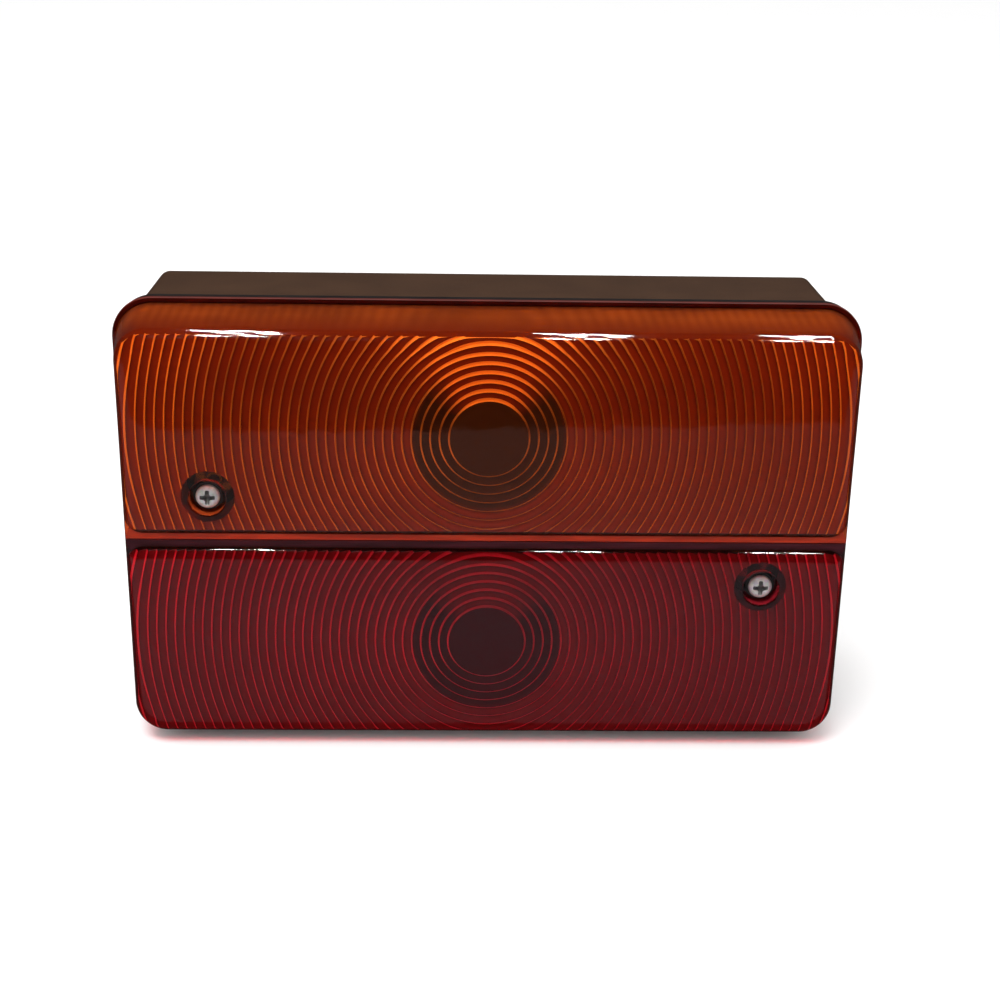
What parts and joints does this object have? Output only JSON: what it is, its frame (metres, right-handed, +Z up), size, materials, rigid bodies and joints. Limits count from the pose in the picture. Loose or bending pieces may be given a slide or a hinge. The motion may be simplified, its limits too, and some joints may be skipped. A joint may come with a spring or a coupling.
{
  "type": "trailer tail light",
  "caption": "Rectangular trailer tail light: amber indicator section over a red stop and tail section, ring-moulded lens screwed to a deep black housing with bayonet bulbs.",
  "frame": {"origin": "centre of the flat back face of the housing, which goes against the trailer", "axes": "+Y out of the back face, towards the trailer; -Y out of the lens; +Z up; +X to the right seen from in front of the lens"},
  "size_m": [0.2032, 0.096, 0.1242],
  "materials": {
    "black_plastic": "fine moulded grain",
    "amber_plastic": "clear gloss, ringed inside",
    "red_plastic": "clear gloss, ringed inside",
    "black_rubber": "matte",
    "zinc_steel": "bright zinc plate",
    "spring_steel": "drawn wire",
    "nickel_brass": "nickel plated, satin",
    "brass": "plain pressed",
    "phenolic": "laminated board",
    "black_glass": "moulded gloss",
    "solder": "dull tinned",
    "clear_glass": "clear",
    "tungsten": "drawn wire",
    "green_lead": "soft insulation",
    "red_lead": "soft insulation",
    "brown_lead": "soft insulation",
    "white_lead": "soft insulation"
  },
  "bodies": {
    "housing": {"housing": "black_plastic", "lens_gasket": "black_rubber", "indicator_socket_shell": "nickel_brass", "stop_tail_socket_shell": "nickel_brass", "indicator_socket_spring": "spring_steel", "stop_tail_socket_spring": "spring_steel", "indicator_outer_rivet": "brass", "indicator_inner_rivet": "brass", "stop_tail_inner_rivet": "brass", "stop_tail_outer_rivet": "brass", "earth_strip": "brass", "indicator_lead": "green_lead", "stop_lead": "red_lead", "tail_lead": "brown_lead", "earth_lead": "white_lead", "cable_grommet": "black_rubber", "left_mounting_stud": "zinc_steel", "left_plain_washer": "zinc_steel", "left_spring_washer": "zinc_steel", "left_mounting_nut": "zinc_steel", "right_mounting_stud": "zinc_steel", "right_plain_washer": "zinc_steel", "right_spring_washer": "zinc_steel", "right_mounting_nut": "zinc_steel"},
    "lens": {"amber_lens": "amber_plastic", "red_lens": "red_plastic", "amber_screw_seal": "black_rubber", "red_screw_seal": "black_rubber"},
    "amber_screw": {"amber_lens_screw": "zinc_steel"},
    "red_screw": {"red_lens_screw": "zinc_steel"},
    "indicator_plunger": {"indicator_contact_disc": "phenolic", "indicator_socket_contact": "brass"},
    "indicator_bulb": {"indicator_bulb_glass": "clear_glass", "indicator_bulb_cap": "nickel_brass", "indicator_bulb_insulator": "black_glass", "indicator_bulb_stem": "clear_glass", "indicator_bulb_contact": "solder", "indicator_filament": "tungsten"},
    "stop_tail_plunger": {"stop_tail_contact_disc": "phenolic", "stop_socket_contact": "brass", "tail_socket_contact": "brass"},
    "stop_tail_bulb": {"stop_tail_bulb_glass": "clear_glass", "stop_tail_bulb_cap": "nickel_brass", "stop_tail_bulb_insulator": "black_glass", "stop_tail_bulb_stem": "clear_glass", "stop_bulb_contact": "solder", "tail_bulb_contact": "solder", "stop_filament": "tungsten", "tail_filament": "tungsten"}
  },
  "joints": [
    {"name": "lens_removal", "type": "slide", "parent": "housing", "child": "lens", "axis": [0, -1, 0], "range_m": [0, 0.06]},
    {"name": "amber_screw_turn", "type": "hinge", "parent": "lens", "child": "amber_screw", "pos_m": [-0.075, -0.068, 0.0127], "axis": [0, -1, 0], "continuous": true},
    {"name": "red_screw_turn", "type": "hinge", "parent": "lens", "child": "red_screw", "pos_m": [0.075, -0.068, -0.0127], "axis": [0, -1, 0], "continuous": true},
    {"name": "indicator_bulb_press", "type": "slide", "parent": "housing", "child": "indicator_plunger", "axis": [0, 1, 0], "range_m": [0, 0.0022], "stiffness_N_per_m": 800, "springref_m": -0.005, "deforming": ["indicator_socket_spring", "indicator_lead"]},
    {"name": "indicator_bulb_turn", "type": "hinge", "parent": "indicator_plunger", "child": "indicator_bulb", "pos_m": [0, -0.0145, 0.0297], "axis": [0, -1, 0], "range_deg": [0, 25]},
    {"name": "stop_tail_bulb_press", "type": "slide", "parent": "housing", "child": "stop_tail_plunger", "axis": [0, 1, 0], "range_m": [0, 0.0022], "stiffness_N_per_m": 800, "springref_m": -0.005, "deforming": ["stop_tail_socket_spring", "stop_lead", "tail_lead"]},
    {"name": "stop_tail_bulb_turn", "type": "hinge", "parent": "stop_tail_plunger", "child": "stop_tail_bulb", "pos_m": [0, -0.0145, -0.0297], "axis": [0, -1, 0], "range_deg": [0, 25]}
  ]
}
